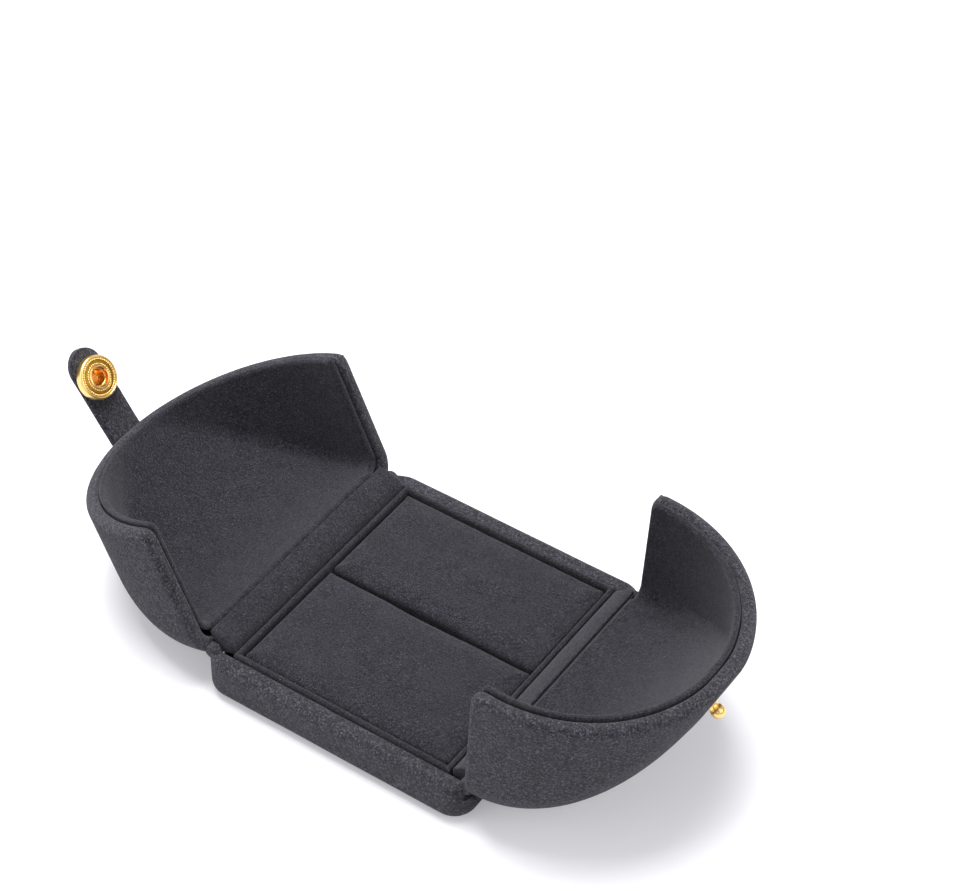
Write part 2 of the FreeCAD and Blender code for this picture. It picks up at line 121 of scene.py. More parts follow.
class RingBoxDoorSettings(bpy.types.PropertyGroup):
    """Form of the two doors, closed."""

    half_y: length("Side arch", "Radius of the side arch and half-width of a door", 32.2)
    arch_z: length("Arch spring", "Height at which the side arch springs", 13.4)
    end_x: length("Length", "Closing plane to the end wall at the lower edge", 31.9)
    end_radius: length("End arch", "Radius of the end arch", 39.0)
    corner: length("Corner", "Radius between side wall and end wall", 7.0)
    bottom: length("Lower edge", "Height of the closed door's lower edge", 9.8)
    wall: length("Wall", "Suede, shell and turned-in suede together", 2.95)
    rim: length("Rim setback", "Wrapped rim to the closing plane", 0.45)
    roll: length("Edge rounding", "Outer radius of the wrapped edges", 1.5)
    inner_roll: length("Inner edge rounding", "Inner radius of the wrapped edges", 0.7)
    tip: length("Tip rounding", "Radius where the rim meets the lower edge", 2.3)
    liner_tip: length("Liner tip rounding", "Radius where the lip meets the liner's lower edge", 1.6)
    liner_inset: length("Liner inset", "Door outside to liner outside", 3.15)
    liner_wall: length("Liner", "Board and suede of the liner", 1.4)
    liner_x: length("Liner length", "Closing plane to the liner's end wall", 25.8)
    liner_radius: length("Liner end arch", "Radius of the liner's end arch", 33.0)
    liner_corner: length("Liner corner", "Radius between the liner's walls", 2.2)
    liner_lip: length("Lip setback", "Liner lip to the closing plane", 0.12)
    liner_roll: length("Lip rounding", "Radius of the liner's lip on the hollow side", 0.8)
    liner_step: length("Side step", "Liner side walls stop short of the lower edge", 0.65)


class RingBoxPadSettings(bpy.types.PropertyGroup):
    """Ring pad and hinge bars."""

    crown: length("Crown", "Rise of the pad's middle over its edges", 0.35)
    edge: length("Edge rounding", "Rounding of the pad's outer edges", 0.45)
    shoulder: length("Slot shoulder", "Rounding of the pad beside the ring slot", 0.95)
    mouth: length("Slot mouth", "How much the slot opens in its middle", 0.35)
    swell: length("Swell", "How far the cloth simulation may move the pad's cover", 0.3)
    voxel: length("Voxel", "Size of the faces in the cloth simulation", 0.45)
    pressure: bpy.props.FloatProperty(name="Pressure", description="Pressure inside the pad", default=4.0)
    bar_roll: length("Bar rounding", "Rounding of the hinge bars' corners", 0.45)


class RingBoxStrapSettings(bpy.types.PropertyGroup):
    """Snap strap and its fastener."""

    width: length("Width", "Width of the strap", 8.4)
    ply: length("Ply", "Thickness of one of the two plies", 0.8)
    bend: length("Bend line", "Closing plane to the bend line along the strap", 6.4)
    reach: length("Length", "Closing plane to the tip", 19.0)
    anchor: length("Glued length", "Length of the strap glued on the door", 9.0)
    cap: length("Cap", "Diameter of the cap", 7.2)
    socket: length("Socket", "Diameter of the socket", 9.2)
    socket_height: length("Socket height", "Height of the socket over the suede", 1.85)
    bore: length("Bore", "Bore of the eyelet", 4.1)
    ball: length("Ball", "Diameter of the stud's ball", 2.9)


class RingBoxColourSettings(bpy.types.PropertyGroup):
    """Colours, as they look."""

    suede: colour("Suede", "Nap of the outer suede", "1B1B1F")
    suede_light: colour("Brushed suede", "Outer nap brushed towards the light", "3C3B41")
    lining: colour("Lining", "Nap of the finer suede inside", "151419")
    lining_light: colour("Brushed lining", "Inner nap brushed towards the light", "323138")
    gilt: colour("Gilt brass", "Polished gilt brass", "EAB03A")
    gilt_matt: colour("Matt gilt", "Gilt ground between the beaded rings", "A9802F")
    cup: colour("Cup", "Gilt inside of the eyelet, deep orange from its own reflections", "F4BC70")
    steel: colour("Steel", "Blackened steel of the hinge pins", "3C3C3E")
    # Black moulded ABS, made near black so that where it shows in the gaps beside the hinge bars it passes for their
    # shade: partly painted shade.
    moulding_and_gap_shade: colour("Moulding", "Black moulded ABS", "09090A")
    board: colour("Board", "Dark grey lining board", "2E2D2F")
    floor: colour("Floor", "Pale table", "E9E8EC")


def settings(kind):
    """The scene's settings of one kind: tray, doors, pad, strap or colours."""
    return getattr(bpy.context.scene, "ring_box_" + kind)


def sizes(kind, names):
    """Lengths of one kind of settings in millimetres, in the order of their names."""
    return [getattr(settings(kind), name) / MM for name in names.split()]


# Places
def turned(points, axis, degrees, centre):
    """Points turned about a line, by Rodrigues' formula."""
    axis = np.asarray(axis, float)
    angle = math.radians(degrees)
    arm = points - centre
    along = (arm @ axis)[..., None] * axis
    return centre + arm * math.cos(angle) + np.cross(axis, arm) * math.sin(angle) + along * (1 - math.cos(angle))


def hinge_of(side):
    """Axis, opening angle and place of a door's hinge (-1 left, 1 right)."""
    joint = JOINTS["left_door_hinge" if side < 0 else "right_door_hinge"]
    return joint["axis"], joint["range_deg"][1], np.array(joint["pos_m"]) / MM


def opened(points, side):
    """Closed right-hand points taken to their side (-1 left, 1 right) and to the open rest pose."""
    axis, degrees, place = hinge_of(side)
    return turned(points * np.array([side, 1.0, 1.0]), axis, -degrees, place)


def closed_middle(node, side):
    """Middle of a CAD node that turns with a door, where it is when the box is closed."""
    low, high = node_box(node)
    axis, degrees, place = hinge_of(side)
    return turned((low + high) / 2, axis, degrees, place)


def soft_step(value, low, high):
    """0 below low, 1 above high, with a smooth cubic between."""
    t = np.clip((value - low) / (high - low), 0.0, 1.0)
    return t * t * (3 - 2 * t)


def unevenness(points, amount, pitch):
    """Small soft rise and fall of wrapped suede: a sum of slow waves in three directions."""
    x, y, z = np.moveaxis(points / pitch, -1, 0)
    wave = np.sin(x * 1.7 + np.sin(y * 1.1)) + np.sin(y * 1.9 + np.sin(z * 1.3))
    return amount * (wave + np.sin(z * 2.1 + np.sin(x * 0.9))) / 3.0


def pushed_out(points, amount, pitch):
    """Points moved unevenly away from the origin, from which wrapped faces lie about 30 mm."""
    return points * (1.0 + unevenness(points, amount, pitch)[..., None] / 30.0)


# Meshes
def grid_faces(rows, columns, start=0, wrap=False):
    """Quads of a grid of rows x columns vertices, closed round the columns if wrap."""
    r = np.arange(rows - 1)[:, None]
    c = np.arange(columns if wrap else columns - 1)[None, :]
    nxt = (c + 1) % columns
    below, above = r * columns, (r + 1) * columns
    return np.stack([below + c, below + nxt, above + nxt, above + c], -1).reshape(-1, 4) + start


def tube_faces(points, closed=False):
    """Faces of a grid of points that goes round its columns, with capped ends or joined into a ring."""
    rows, columns = points.shape[:2]
    if closed:
        return grid_faces(rows + 1, columns, wrap=True) % (rows * columns)
    caps = [list(range(columns)), list(range((rows - 1) * columns, rows * columns))]
    return grid_faces(rows, columns, wrap=True).tolist() + caps


def band_faces(one, other):
    """Quads between two loops of the same number of vertices."""
    return np.stack([one, np.roll(one, -1), np.roll(other, -1), other], -1)


def edge_loop(rows, columns):
    """Vertices round the border of a grid, in order."""
    numbers = np.arange(rows * columns).reshape(rows, columns)
    return np.concatenate([numbers[0, :-1], numbers[:-1, -1], numbers[-1, :0:-1], numbers[:0:-1, 0]])


def lathe(profile, steps=96):
    """Points of a profile of (radius, height) pairs turned about z."""
    a = np.linspace(0.0, 2 * math.pi, steps, endpoint=False)
    profile = np.asarray(profile, float)
    return np.stack([profile[:, :1] * np.cos(a), profile[:, :1] * np.sin(a), profile[:, 1:] + 0 * a], -1)


def make_piece(name, points, faces, finish, body=None, stands_for=()):
    """A smooth mesh object at the origin, its faces pointing outwards."""
    mesh = bpy.data.meshes.new(name)
    mesh.from_pydata((points.reshape(-1, 3) * MM).tolist(), [], [list(map(int, f)) for f in faces])
    mesh.validate()
    mesh.shade_smooth()
    piece = bpy.data.objects.new(name, mesh)
    bpy.context.scene.collection.objects.link(piece)
    mesh.materials.append(finish_named(finish))
    outward(mesh)
    mesh.set_sharp_from_angle(angle=SHARP)
    if stands_for:
        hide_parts(*stands_for)
    if body:
        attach(piece, body)
    return piece


def outward(mesh):
    """Merges doubles and points every face outwards."""
    work = bmesh.new()
    work.from_mesh(mesh)
    bmesh.ops.remove_doubles(work, verts=work.verts, dist=1e-7)
    bmesh.ops.recalc_face_normals(work, faces=work.faces)
    work.to_mesh(mesh)
    work.free()


def evaluated_mesh(piece):
    """A new mesh of a piece with its modifiers applied."""
    graph = bpy.context.evaluated_depsgraph_get()
    return bpy.data.meshes.new_from_object(piece.evaluated_get(graph))


def swap_mesh(piece, mesh):
    """Gives a piece another mesh and removes its first."""
    first, piece.data = piece.data, mesh
    bpy.data.meshes.remove(first)


# Materials
def add_node(tree, kind, options=None, **links):
    """One shader node with its options, and its inputs by name or number (i0, i1) as values or links."""
    node = tree.nodes.new(kind)
    for key, value in (options or {}).items():
        setattr(node, key, value)
    for key, value in links.items():
        numbered = key[0] == "i" and key[1:].isdigit()
        socket = node.inputs[int(key[1:]) if numbered else key.replace("_", " ")]
        if isinstance(value, bpy.types.NodeSocket):
            tree.links.new(value, socket)
        else:
            socket.default_value = value
    return node


def new_material(name):
    material = bpy.data.materials.new(name)
    material.use_nodes = True
    tree = material.node_tree
    tree.nodes.clear()
    out = tree.nodes.new("ShaderNodeOutputMaterial")
    return material, tree, out


def suede_material(name, dark, light, grain, fleck_share):
    """Microfibre suede, polyester nap brushed after dyeing.

    The nap is matt and soft-edged: tufts, pale fibre ends standing up between them, patches of
    about 4 mm where the nap lies another way, and a pale sheen at grazing angles.  The real fibres
    are 0.05 mm wide and too fine to show, so tufts are drawn 0.6 mm wide and ends 0.34 mm, times
    grain, which is larger for the coarse suede outside.  fleck_share says how many ends stand out.
    """
    patch, tuft, end = 4.0 * MM, 0.6 * grain * MM, 0.34 * grain * MM
    material, tree, out = new_material(name)
    place = add_node(tree, "ShaderNodeTexCoord").outputs["Object"]
    patches = add_node(tree, "ShaderNodeTexNoise", Vector=place, Scale=1 / patch, Detail=3.0, Roughness=0.6)
    tufts = add_node(tree, "ShaderNodeTexNoise", Vector=place, Scale=1 / tuft, Detail=5.0, Roughness=0.8)
    specks = add_node(tree, "ShaderNodeTexNoise", Vector=place, Scale=1 / end, Detail=3.0, Roughness=0.75)
    mixed = add_node(tree, "ShaderNodeMath", {"operation": "MULTIPLY_ADD"},
                     i0=patches.outputs["Fac"], i1=0.22, i2=tufts.outputs["Fac"])
    ramp = add_node(tree, "ShaderNodeMapRange", i0=mixed.outputs[0], i1=0.50, i2=0.74)
    shade = add_node(tree, "ShaderNodeMix", {"data_type": "RGBA"}, Factor=ramp.outputs[0], i6=dark, i7=light)
    fleck = add_node(tree, "ShaderNodeMapRange", i0=specks.outputs["Fac"], i1=0.68 - fleck_share, i2=0.68,
                     i3=0.0, i4=0.95)
    pale = [c * 3.2 for c in light[:3]] + [1.0]
    flecked = add_node(tree, "ShaderNodeMix", {"data_type": "RGBA"}, Factor=fleck.outputs[0],
                       i6=shade.outputs[2], i7=pale)
    height = add_node(tree, "ShaderNodeMath", {"operation": "MULTIPLY_ADD"},
                      i0=specks.outputs["Fac"], i1=0.8, i2=tufts.outputs["Fac"])
    bump = add_node(tree, "ShaderNodeBump", Strength=1.0, Distance=end, Height=height.outputs[0])
    shader = add_node(tree, "ShaderNodeBsdfPrincipled", Base_Color=flecked.outputs[2], Roughness=1.0,
                      Normal=bump.outputs[0], Sheen_Weight=0.20, Sheen_Roughness=0.5,
                      Sheen_Tint=(0.88, 0.89, 0.95, 1.0), Specular_IOR_Level=0.05)
    tree.links.new(shader.outputs[0], out.inputs[0])
    return material


def gilt_material(name, tint):
    """Gilt brass, stamped, polished and plated: a warm mirror, faintly uneven and a little worn."""
    material, tree, out = new_material(name)
    place = add_node(tree, "ShaderNodeTexCoord").outputs["Object"]
    wear = add_node(tree, "ShaderNodeTexNoise", Vector=place, Scale=1 / (0.9 * MM), Detail=4.0)
    rough = add_node(tree, "ShaderNodeMapRange", i0=wear.outputs["Fac"], i1=0.3, i2=0.75, i3=0.12, i4=0.30)
    fine = add_node(tree, "ShaderNodeTexNoise", Vector=place, Scale=1 / (0.25 * MM), Detail=2.0)
    bump = add_node(tree, "ShaderNodeBump", Strength=0.12, Distance=0.03 * MM, Height=fine.outputs["Fac"])
    shader = add_node(tree, "ShaderNodeBsdfPrincipled", Base_Color=tint, Metallic=1.0,
                      Roughness=rough.outputs[0], Normal=bump.outputs[0])
    tree.links.new(shader.outputs[0], out.inputs[0])
    return material


def plain_material(name, tint, roughness, metallic, grain):
    """Moulded ABS, board, wire or plain gilt: one colour varied slightly at the scale of its grain."""
    material, tree, out = new_material(name)
    place = add_node(tree, "ShaderNodeTexCoord").outputs["Object"]
    noise = add_node(tree, "ShaderNodeTexNoise", Vector=place, Scale=1 / (grain * MM), Detail=3.0)
    darker = [c * 0.8 for c in tint[:3]] + [1.0]
    shade = add_node(tree, "ShaderNodeMix", {"data_type": "RGBA"}, Factor=noise.outputs["Fac"],
                     i6=darker, i7=tuple(tint))
    bump = add_node(tree, "ShaderNodeBump", Strength=0.2, Distance=0.03 * MM, Height=noise.outputs["Fac"])
    shader = add_node(tree, "ShaderNodeBsdfPrincipled", Base_Color=shade.outputs[2], Roughness=roughness,
                      Metallic=metallic, Normal=bump.outputs[0])
    tree.links.new(shader.outputs[0], out.inputs[0])
    return material


def finish_named(name):
    """The material of that name, made on first use from the colour settings."""
    if name in bpy.data.materials:
        return bpy.data.materials[name]
    hues = settings("colours")
    if name == "microfibre_suede":
        return suede_material(name, hues.suede, hues.suede_light, 1.25, 0.17)
    if name == "lining_suede":
        return suede_material(name, hues.lining, hues.lining_light, 0.95, 0.13)
    if name == "gilt_brass":
        return gilt_material(name, hues.gilt)
    tint, roughness, metallic, grain = {
        # Moulded ABS is black, and is made near black besides so that the lugs seen in the gaps pass for the gaps'
        # shade: partly painted shade.
        "moulded_abs": (hues.moulding_and_gap_shade, 0.85, 0.0, 0.4),  # injection moulded, spark-eroded: dull black
        "gilt_cup": (hues.cup, 0.25, 1.0, 0.5),  # drawn brass cup: glows orange in its own reflections
        "gilt_matt": (hues.gilt_matt, 0.38, 1.0, 0.3),  # ground brass: duller than the rings beside it
        "lining_board": (hues.board, 0.9, 0.0, 0.5),  # pressed and dyed: flat dark grey
        "drawn_steel": (hues.steel, 0.3, 1.0, 0.3),  # drawn and blackened: a dark soft shine
    }[name]
    return plain_material(name, tint, roughness, metallic, grain)


# Door surfaces
def end_centre(end_x, radius, top, bottom):
    """Centre of the end arch through (end_x, bottom) and (0, top)."""
    rise = top - bottom
    chord = math.hypot(end_x, rise)
    lift = math.sqrt(radius ** 2 - chord ** 2 / 4)
    return end_x / 2 - lift * rise / chord, (bottom + top) / 2 - lift * end_x / chord


def round_tip(x, z, rim, low, radius):
    """Squares the corner between rim and lower edge into a quarter circle.

    Within the radius, a point at p from the circle's centre goes to p max(p) / |p|, which takes
    a square to a disc and leaves its inner sides where they are.
    """
    p = np.clip(1 - (x - rim) / radius, 0.0, 1.0)
    q = np.clip(1 - (z - low) / radius, 0.0, 1.0)
    shrink = np.maximum(p, q) / np.maximum(np.hypot(p, q), 1e-9)
    both = (p > 0) & (q > 0)
    return (np.where(both, rim + radius * (1 - p * shrink), x),
            np.where(both, low + radius * (1 - q * shrink), z))


def door_grid(half_y, end_x, radius, corner, inset, rim, low, tip, rows=110, columns=200):
    """Grid over one door's wall, moved inwards by inset.

    A row is a U at one height: along one side wall, round the corner, across the end wall and
    back.  Its half-width is that of the side arch and its depth that of the end arch.  Rows are
    spaced evenly by the angle of the side arch, and columns evenly along each row.
    """
    arch_z, bottom = sizes("doors", "arch_z bottom")
    centre_x, centre_z = end_centre(end_x, radius, arch_z + half_y, bottom)
    side, end = half_y - inset, radius - inset
    top = centre_z + math.sqrt(end ** 2 - (rim - centre_x) ** 2)
    top_turn = math.asin(min((top - arch_z) / side, 0.9985))
    low = np.broadcast_to(low, (columns,))
    low_turn = np.where(low < arch_z, (low - arch_z) / side, np.arcsin(np.clip((low - arch_z) / side, -1, 1)))
    share = np.linspace(0.0, 1.0, rows)[:, None]
    turn = low_turn + (top_turn - low_turn) * share
    z = arch_z + side * np.where(turn < 0, turn, np.sin(turn))
    y = side * np.where(turn < 0, 1.0, np.cos(turn))
    x = centre_x + np.sqrt(end ** 2 - (z - centre_z) ** 2)
    bend = np.minimum(np.minimum(max(corner - inset, 0.8), 0.7 * x), 0.7 * y)
    flat = np.maximum(x - bend - rim, 0.0)
    first = np.arcsin(np.clip((rim - x + bend) / bend, 0.0, 1.0))
    arc = (QUARTER - first) * bend
    total = 2 * (flat + arc + y - bend)
    run = total * np.linspace(0.0, 1.0, columns)
    near = np.minimum(run, total - run)
    angle = first + np.clip((near - flat) / bend, 0.0, arc / bend)
    on_flat, on_arc = near < flat, near < flat + arc
    out_x = np.where(on_flat, rim + near, np.where(on_arc, x - bend + bend * np.sin(angle), x))
    out_y = np.where(on_flat, y, np.where(on_arc, y - bend + bend * np.cos(angle),
                                          y - bend - (near - flat - arc)))
    out_x, out_z = round_tip(out_x, np.broadcast_to(z, out_x.shape), rim, low, max(tip, 0.3))
    return np.stack([out_x, np.where(run < total / 2, out_y, -out_y), out_z], -1)


def wall_piece(name, layers, uneven, side, stands_for, finish):
    """Closed wall from a list of grids: first outside, last inside, rolled edges between.

    Neighbouring grids are joined along their borders only, which makes the rounded edge.
    """
    rows, columns = layers[0].shape[:2]
    outer, inner = layers[0], layers[-1]
    border = edge_loop(rows, columns)
    rings = [layer.reshape(-1, 3)[border] for layer in layers[1:-1]]
    points = np.concatenate([outer.reshape(-1, 3), *rings, inner.reshape(-1, 3)])
    size, count = rows * columns, len(border)
    loops = [border] + [size + k * count + np.arange(count) for k in range(len(rings))]
    loops.append(border + size + len(rings) * count)
    faces = [grid_faces(rows, columns), grid_faces(rows, columns, size + len(rings) * count)]
    faces += [band_faces(one, other) for one, other in zip(loops, loops[1:])]
    points = opened(pushed_out(points, uneven, 9.0), side)
    make_piece(name, points, np.concatenate(faces), finish, "left_door" if side < 0 else "right_door", stands_for)


def rolled_profile(wall, outer_roll, inner_roll, steps=9):
    """(inset, setback) pairs from the outside of a wall round its edge to the inside."""
    a = np.linspace(0.0, QUARTER, steps)
    outside = np.stack([outer_roll * (1 - np.cos(a)), outer_roll * (1 - np.sin(a))], -1)
    inside = np.stack([wall - inner_roll * (1 - np.sin(a)), inner_roll * (1 - np.cos(a))], -1)
    return np.concatenate([outside, inside])


class RINGBOX_OT_door_covers(bpy.types.Operator):
    """Wraps both doors in suede, rolled round the rim and the lower edge"""

    bl_idname = "ringbox.door_covers"
    bl_label = "Door covers"

    def execute(self, context):
        form = sizes("doors", "half_y end_x end_radius corner")
        rim, bottom, tip = sizes("doors", "rim bottom tip")
        layers = [door_grid(*form, inset, rim + back, bottom + back, tip - back)
                  for inset, back in rolled_profile(*sizes("doors", "wall roll inner_roll"))]
        for hand, side in (("left", -1), ("right", 1)):
            wall_piece(hand + "_door_suede", layers, 0.05, side, [hand + "_door_cover"], "microfibre_suede")
        return {"FINISHED"}


class RINGBOX_OT_liners(bpy.types.Operator):
    """Lines both doors with suede-faced board whose lip stands just proud of the rim"""

    bl_idname = "ringbox.liners"
    bl_label = "Door liners"

    def execute(self, context):
        half_y, inset, wall, corner = sizes("doors", "half_y liner_inset liner_wall liner_corner")
        end_x, end_radius, lip, tip = sizes("doors", "liner_x liner_radius liner_lip liner_tip")
        bottom, step, lip_roll = sizes("doors", "bottom liner_step liner_roll")
        half_y = half_y - inset - wall
        columns, step_run, back_roll = 200, 1.2, 0.45
        run = np.abs(np.linspace(-1.0, 1.0, columns)) * (half_y + end_x)
        low = bottom + step * soft_step(run, half_y - corner, half_y - corner + step_run)
        form = half_y, end_x, end_radius, corner
        layers = [door_grid(*form, inset - wall, lip + back, low + back, tip - back, columns=columns)
                  for inset, back in rolled_profile(wall, back_roll, lip_roll)]
        for hand, side in (("left", -1), ("right", 1)):
            wall_piece(hand + "_liner_face", layers, 0.03, side, [hand + "_liner_suede"], "lining_suede")
        return {"FINISHED"}


# Tray cover
def plan_ring(half_x, half_y, corner, inset, side_steps=90, corner_steps=48):
    """Points round a rounded rectangle, moved inwards by inset, the same number for each inset."""
    x, y, r = half_x - inset, half_y - inset, max(corner - inset, 0.3)
    centres = np.array([(1, 1), (-1, 1), (-1, -1), (1, -1)]) * [x - r, y - r]
    turn = np.linspace(0.0, 1.0, corner_steps, endpoint=False)
    share = np.linspace(0.0, 1.0, side_steps, endpoint=False)[:, None]
    pieces = []
    for k, centre in enumerate(centres):
        a = QUARTER * np.append(k + turn, k + 1)
        arc = centre + r * np.stack([np.cos(a), np.sin(a)], -1)
        pieces += [arc[:-1], arc[-1] + (centres[(k + 1) % 4] - centre) * share]
    return np.concatenate(pieces)


class RINGBOX_OT_tray_cover(bpy.types.Operator):
    """Wraps the tray in suede: round foot, straight wall, rolled rim and a turned-in edge"""

    bl_idname = "ringbox.tray_cover"
    bl_label = "Tray cover"

    def execute(self, context):
        plan = sizes("tray", "half_x half_y corner")
        low, foot, rim_roll, turn_in = sizes("tray", "low foot rim turn_in")
        side_top, end_top, nest, nest_depth = sizes("tray", "top end_top nest nest_depth")
        outline = plan_ring(*plan, 0.0)
        well = np.array(sizes("tray", "well_x well_y"))
        inwards = np.clip(outline, -well, well) - outline
        wall = np.linalg.norm(inwards, axis=1)
        inwards = inwards / wall[:, None]
        bar_end, lug_start = 28.14, 28.45
        at_end = soft_step(np.abs(outline[:, 0]), plan[0] - 1.6, plan[0] - 0.9)
        past_bar = soft_step(np.abs(outline[:, 1]), bar_end, lug_start)
        top = side_top + (end_top - side_top) * at_end * (1 - past_bar)
        roll = np.minimum(rim_roll, 0.45 * wall)
        inner_roll = np.minimum(0.5, 0.3 * wall)
        start = low + foot
        glued_edge, hidden_low = 5.6, 3.0
        rows = [(plan_ring(*plan, glued_edge), low + 0.02)]
        for a in np.linspace(0.0, QUARTER, 12):
            rows.append((plan_ring(*plan, foot * (1 - math.sin(a))), low + foot * (1 - math.cos(a))))
        for t in np.linspace(0.0, 1.0, 26)[1:-1]:
            rows.append((outline, start + (top - roll - start) * t))
        rim = [(roll * (1 - math.cos(a)), top - roll * (1 - math.sin(a))) for a in np.linspace(0.0, QUARTER, 10)]
        rim += [(wall - inner_roll * (1 - math.sin(a)), top - inner_roll * (1 - math.cos(a)))
                for a in np.linspace(0.0, QUARTER, 7)]
        rim.append((wall, np.maximum(top - turn_in, hidden_low)))
        rows += [(outline + inwards * distance[:, None], z) for distance, z in rim]
        points = np.stack([np.column_stack([flat, np.broadcast_to(z, len(flat))]) for flat, z in rows])
        back = nest_depth * soft_step(points[..., 2], nest - 0.35, nest + 0.3)
        points[..., 0] = np.clip(points[..., 0], -(plan[0] - back), plan[0] - back)
        points = pushed_out(points, 0.04, 6.0)
        faces = grid_faces(*points.shape[:2], wrap=True)
        make_piece("tray_suede", points, faces, "microfibre_suede", "tray", ["base_cover"])
        self.lug_caps()
        return {"FINISHED"}

    def lug_caps(self):
        """Suede glued over the ends of the four lugs that hold the hinge pins."""
        start = node_box("left_hinge_bar_cover")[1][1] + 0.25
        cap = lathe([(0.05, 1.86), (1.2, 1.86), (1.42, 1.8), (1.53, 1.62), (1.53, 0.0)], 48)
        pin_x, _, pin_z = hinge_of(1)[2]
        for side, place in ((-1, "front"), (1, "back")):
            for end, hand in ((-1, "left"), (1, "right")):
                points = np.stack([cap[..., 0] + end * pin_x, side * (cap[..., 2] + start), cap[..., 1] + pin_z], -1)
                make_piece(f"lug_suede_{place}_{hand}", points, tube_faces(cap), "microfibre_suede", "tray")


# Hinge bars
def rounded_outline(corners, radius, steps=6):
    """Closed polygon with every corner replaced by a small arc (quadratic Bezier)."""
    corners = np.asarray(corners, float)
    before, after = np.roll(corners, 1, 0) - corners, np.roll(corners, -1, 0) - corners
    start = corners + before * np.minimum(radius / np.linalg.norm(before, axis=1), 0.45)[:, None]
    stop = corners + after * np.minimum(radius / np.linalg.norm(after, axis=1), 0.45)[:, None]
    t = np.linspace(0.0, 1.0, steps)[None, :, None]
    curve = (1 - t) ** 2 * start[:, None] + 2 * t * (1 - t) * corners[:, None] + t ** 2 * stop[:, None]
    return curve.reshape(-1, 2)


def bar_outline(roll):
    """Section of a hinge bar about its pin, door closed: a convex face towards the pad, flat behind.

    The heel is an arc about the pin, so that it passes the pad's band at the same distance at every
    angle of the door.
    """
    heel_radius = 4.12
    turn = np.radians(np.linspace(258.5, 290.0, 7))
    heel = heel_radius * np.stack([np.cos(turn), np.sin(turn)], -1)
    front = np.array([-3.98, 0.2])
    t = np.linspace(0.0, 1.0, 7)[:-1, None]
    bulge = np.array([-0.7, -0.72]) * 0.33 * 4 * t * (1 - t)
    face = front + (heel[0] - front) * t + bulge
    behind = [(1.25, -1.85), (1.25, 0.2)]
    return rounded_outline(np.concatenate([face, heel, behind]) + hinge_of(1)[2][[0, 2]], roll)


class RINGBOX_OT_hinge_bars(bpy.types.Operator):
    """Covers the two hinge bars with suede, drawn round their ends"""

    bl_idname = "ringbox.hinge_bars"
    bl_label = "Hinge bars"

    def execute(self, context):
        roll, = sizes("pad", "bar_roll")
        outline = bar_outline(0.5)
        half = node_box("left_hinge_bar_cover")[1][1]
        a = np.linspace(0.0, QUARTER, 6)
        ends = half - roll + roll * np.sin(a)
        between = np.linspace(-ends[0], ends[0], 60)[1:-1]
        y = np.concatenate([-ends[::-1], between, ends])
        pull = np.concatenate([(1 - np.cos(a))[::-1], 0 * between, 1 - np.cos(a)]) * roll
        middle = outline.mean(0)
        arm = outline - middle
        reach = np.linalg.norm(arm, axis=1)[None, :, None]
        flat = middle + arm[None] * (1 - pull[:, None, None] / reach)
        points = np.stack([flat[..., 0], np.broadcast_to(y[:, None], flat.shape[:2]), flat[..., 1]], -1)
        points = points + unevenness(points, 0.04, 3.5)[..., None] * UP
        for side, hand in ((-1, "left"), (1, "right")):
            make_piece(hand + "_bar_suede", opened(points, side), tube_faces(points), "lining_suede",
                       hand + "_door", [hand + "_hinge_bar_cover"])
        return {"FINISHED"}


# Ring pad
def shoulder(distance, radius):
    """Drop of a rounded edge at a distance from it: a quarter circle."""
    inside = np.clip(1 - distance / radius, 0.0, 1.0)
    return radius * (1 - np.sqrt(1 - inside ** 2))


def pad_surface(low, high, slot_side):
    """Crowned top of one pad half, with its sides.

    Height is the pad's top, plus a crown that falls off towards the edges as a product of
    parabolas, minus a quarter circle along each edge.
    """
    u = np.sin(np.linspace(-QUARTER, QUARTER, 110))[None, :]
    v = np.sin(np.linspace(-QUARTER, QUARTER, 90))[:, None]
    x = (low[0] + high[0]) / 2 + u * (high[0] - low[0]) / 2 + 0 * v
    y = (low[1] + high[1]) / 2 + v * (high[1] - low[1]) / 2 + 0 * u
    to_slot, to_edge = (high[1] - y, y - low[1])[::slot_side]
    to_end = np.minimum(x - low[0], high[0] - x)
    crown, edge, soft, mouth = sizes("pad", "crown edge shoulder mouth")
    sunk, mouth_reach, mouth_fade = 0.1, 8.0, 2.2
    z = high[2] - sunk + crown * (1 - u ** 2) * (1 - v ** 2)
    z = z - shoulder(to_slot, soft) - shoulder(to_edge, edge) - shoulder(to_end, edge)
    opening = mouth * np.exp(-(x / mouth_reach) ** 4)
    y = y - slot_side * opening * np.exp(-to_slot / mouth_fade)
    z = z + unevenness(np.stack([x, y, z], -1), 0.05, 3.0)
    return np.stack([x, y, z], -1)


def voxel_copy(piece, grow, voxel):
    """A copy of a piece, grown from the origin and remeshed into even small faces."""
    mesh = piece.data.copy()
    mesh.transform(Matrix.Scale(grow, 4))
    copy = bpy.data.objects.new(piece.name + "_copy", mesh)
    bpy.context.scene.collection.objects.link(copy)
    remesh = copy.modifiers.new("Remesh", "REMESH")
    remesh.mode, remesh.voxel_size = "VOXEL", voxel
    even = evaluated_mesh(copy)
    copy.modifiers.remove(remesh)
    swap_mesh(copy, even)
    return copy


def places(mesh):
    """Vertex positions of a mesh as rows."""
    flat = np.empty(len(mesh.vertices) * 3)
    mesh.vertices.foreach_get("co", flat)
    return flat.reshape(-1, 3)


